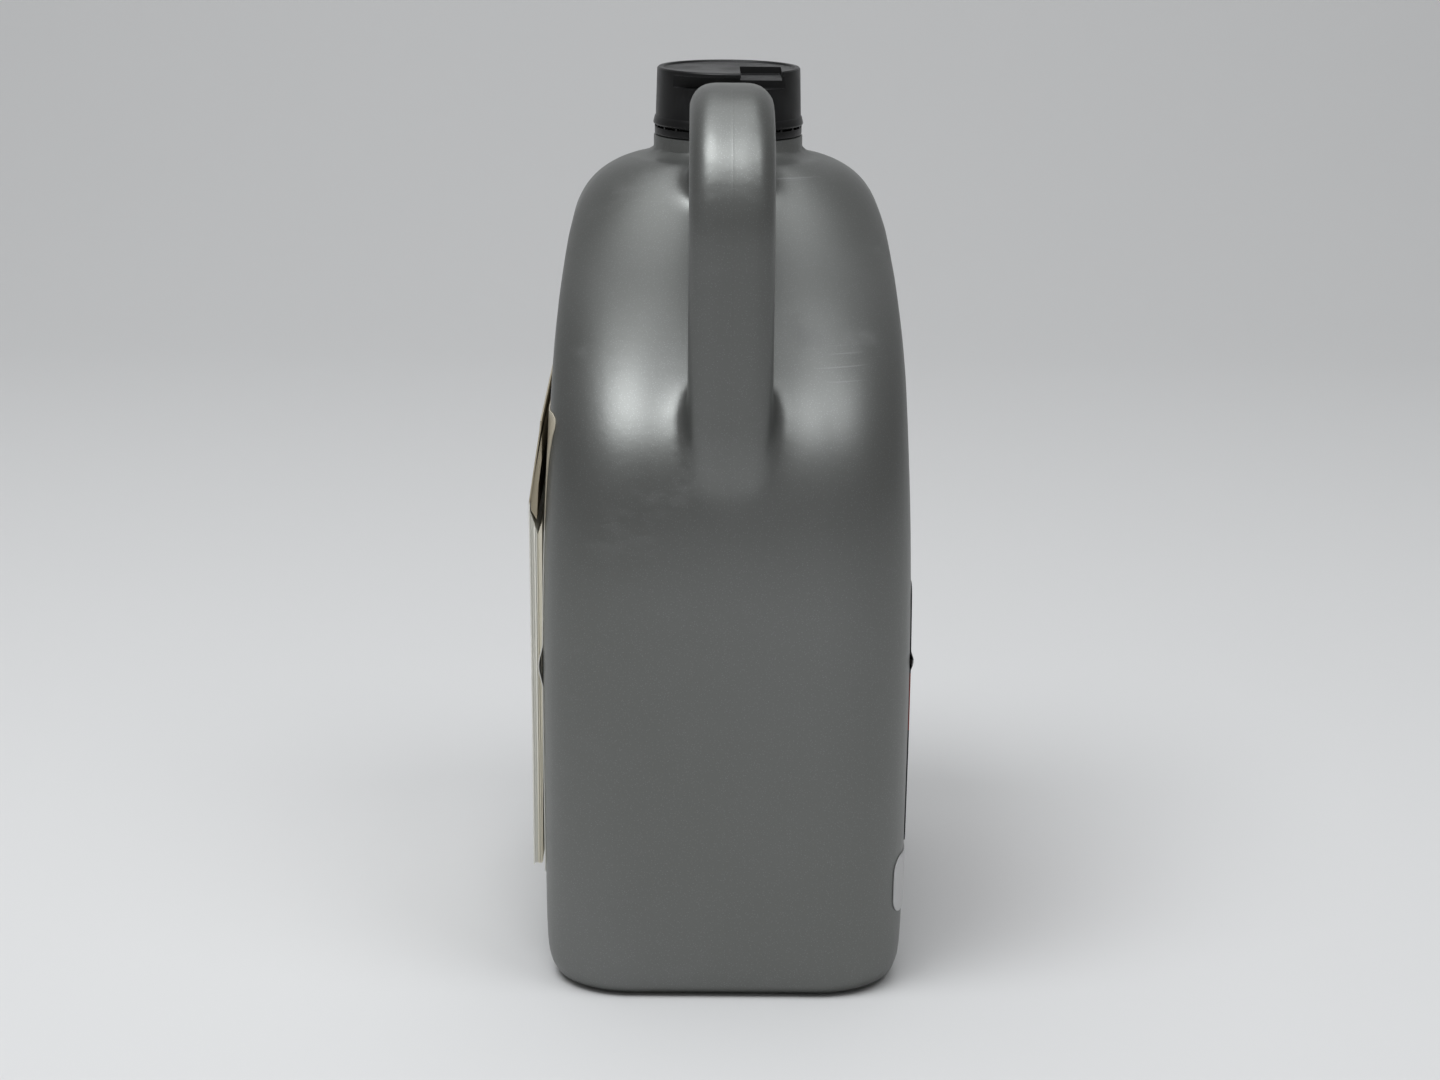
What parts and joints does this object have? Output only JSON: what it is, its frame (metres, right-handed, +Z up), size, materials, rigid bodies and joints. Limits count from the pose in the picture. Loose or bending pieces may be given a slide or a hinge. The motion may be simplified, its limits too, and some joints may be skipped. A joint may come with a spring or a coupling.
{
  "type": "motor oil bottle",
  "caption": "Four-litre motor oil bottle with a hollow strap handle, screw cap with tamper band, foil-sealed mouth, booklet label and front labels.",
  "frame": {"origin": "on the standing surface, under the middle of the whole, which is 2.1 mm in front of the middle of the base because the booklet stands out on one face", "axes": "+Z up; -X towards the handle, +X towards the neck; +Y out of the face with the booklet label, -Y out of the face with the front label"},
  "size_m": [0.1895, 0.1201, 0.282],
  "materials": {
    "bottle_plastic": "satin",
    "motor_oil": "gloss",
    "cap_plastic": "satin",
    "liner_board": "matte",
    "seal_foil": "satin",
    "label_paper": "satin",
    "booklet_paper": "matte",
    "front_film": "satin",
    "strip_film": "satin"
  },
  "bodies": {
    "bottle": {"bottle": "bottle_plastic", "oil": "motor_oil", "mouth_foil": "seal_foil", "tamper_band": "cap_plastic", "back_label": "label_paper", "booklet": "booklet_paper", "front_label": "front_film", "strip_label": "strip_film"},
    "cap_seal": {"cap_liner": "liner_board"},
    "cap": {"cap": "cap_plastic"}
  },
  "joints": [
    {"name": "cap_rise", "type": "slide", "parent": "bottle", "child": "cap_seal", "axis": [0, 0, 1], "range_m": [0, 0.007]},
    {"name": "cap_turn", "type": "hinge", "parent": "cap_seal", "child": "cap", "pos_m": [0.046, -0.0021, 0.27], "axis": [0, 0, 1], "range_deg": [0, 630]}
  ],
  "couplings": [
    {"joint": "cap_rise", "follows": "cap_turn", "m_per_rad": 0.00063662}
  ]
}
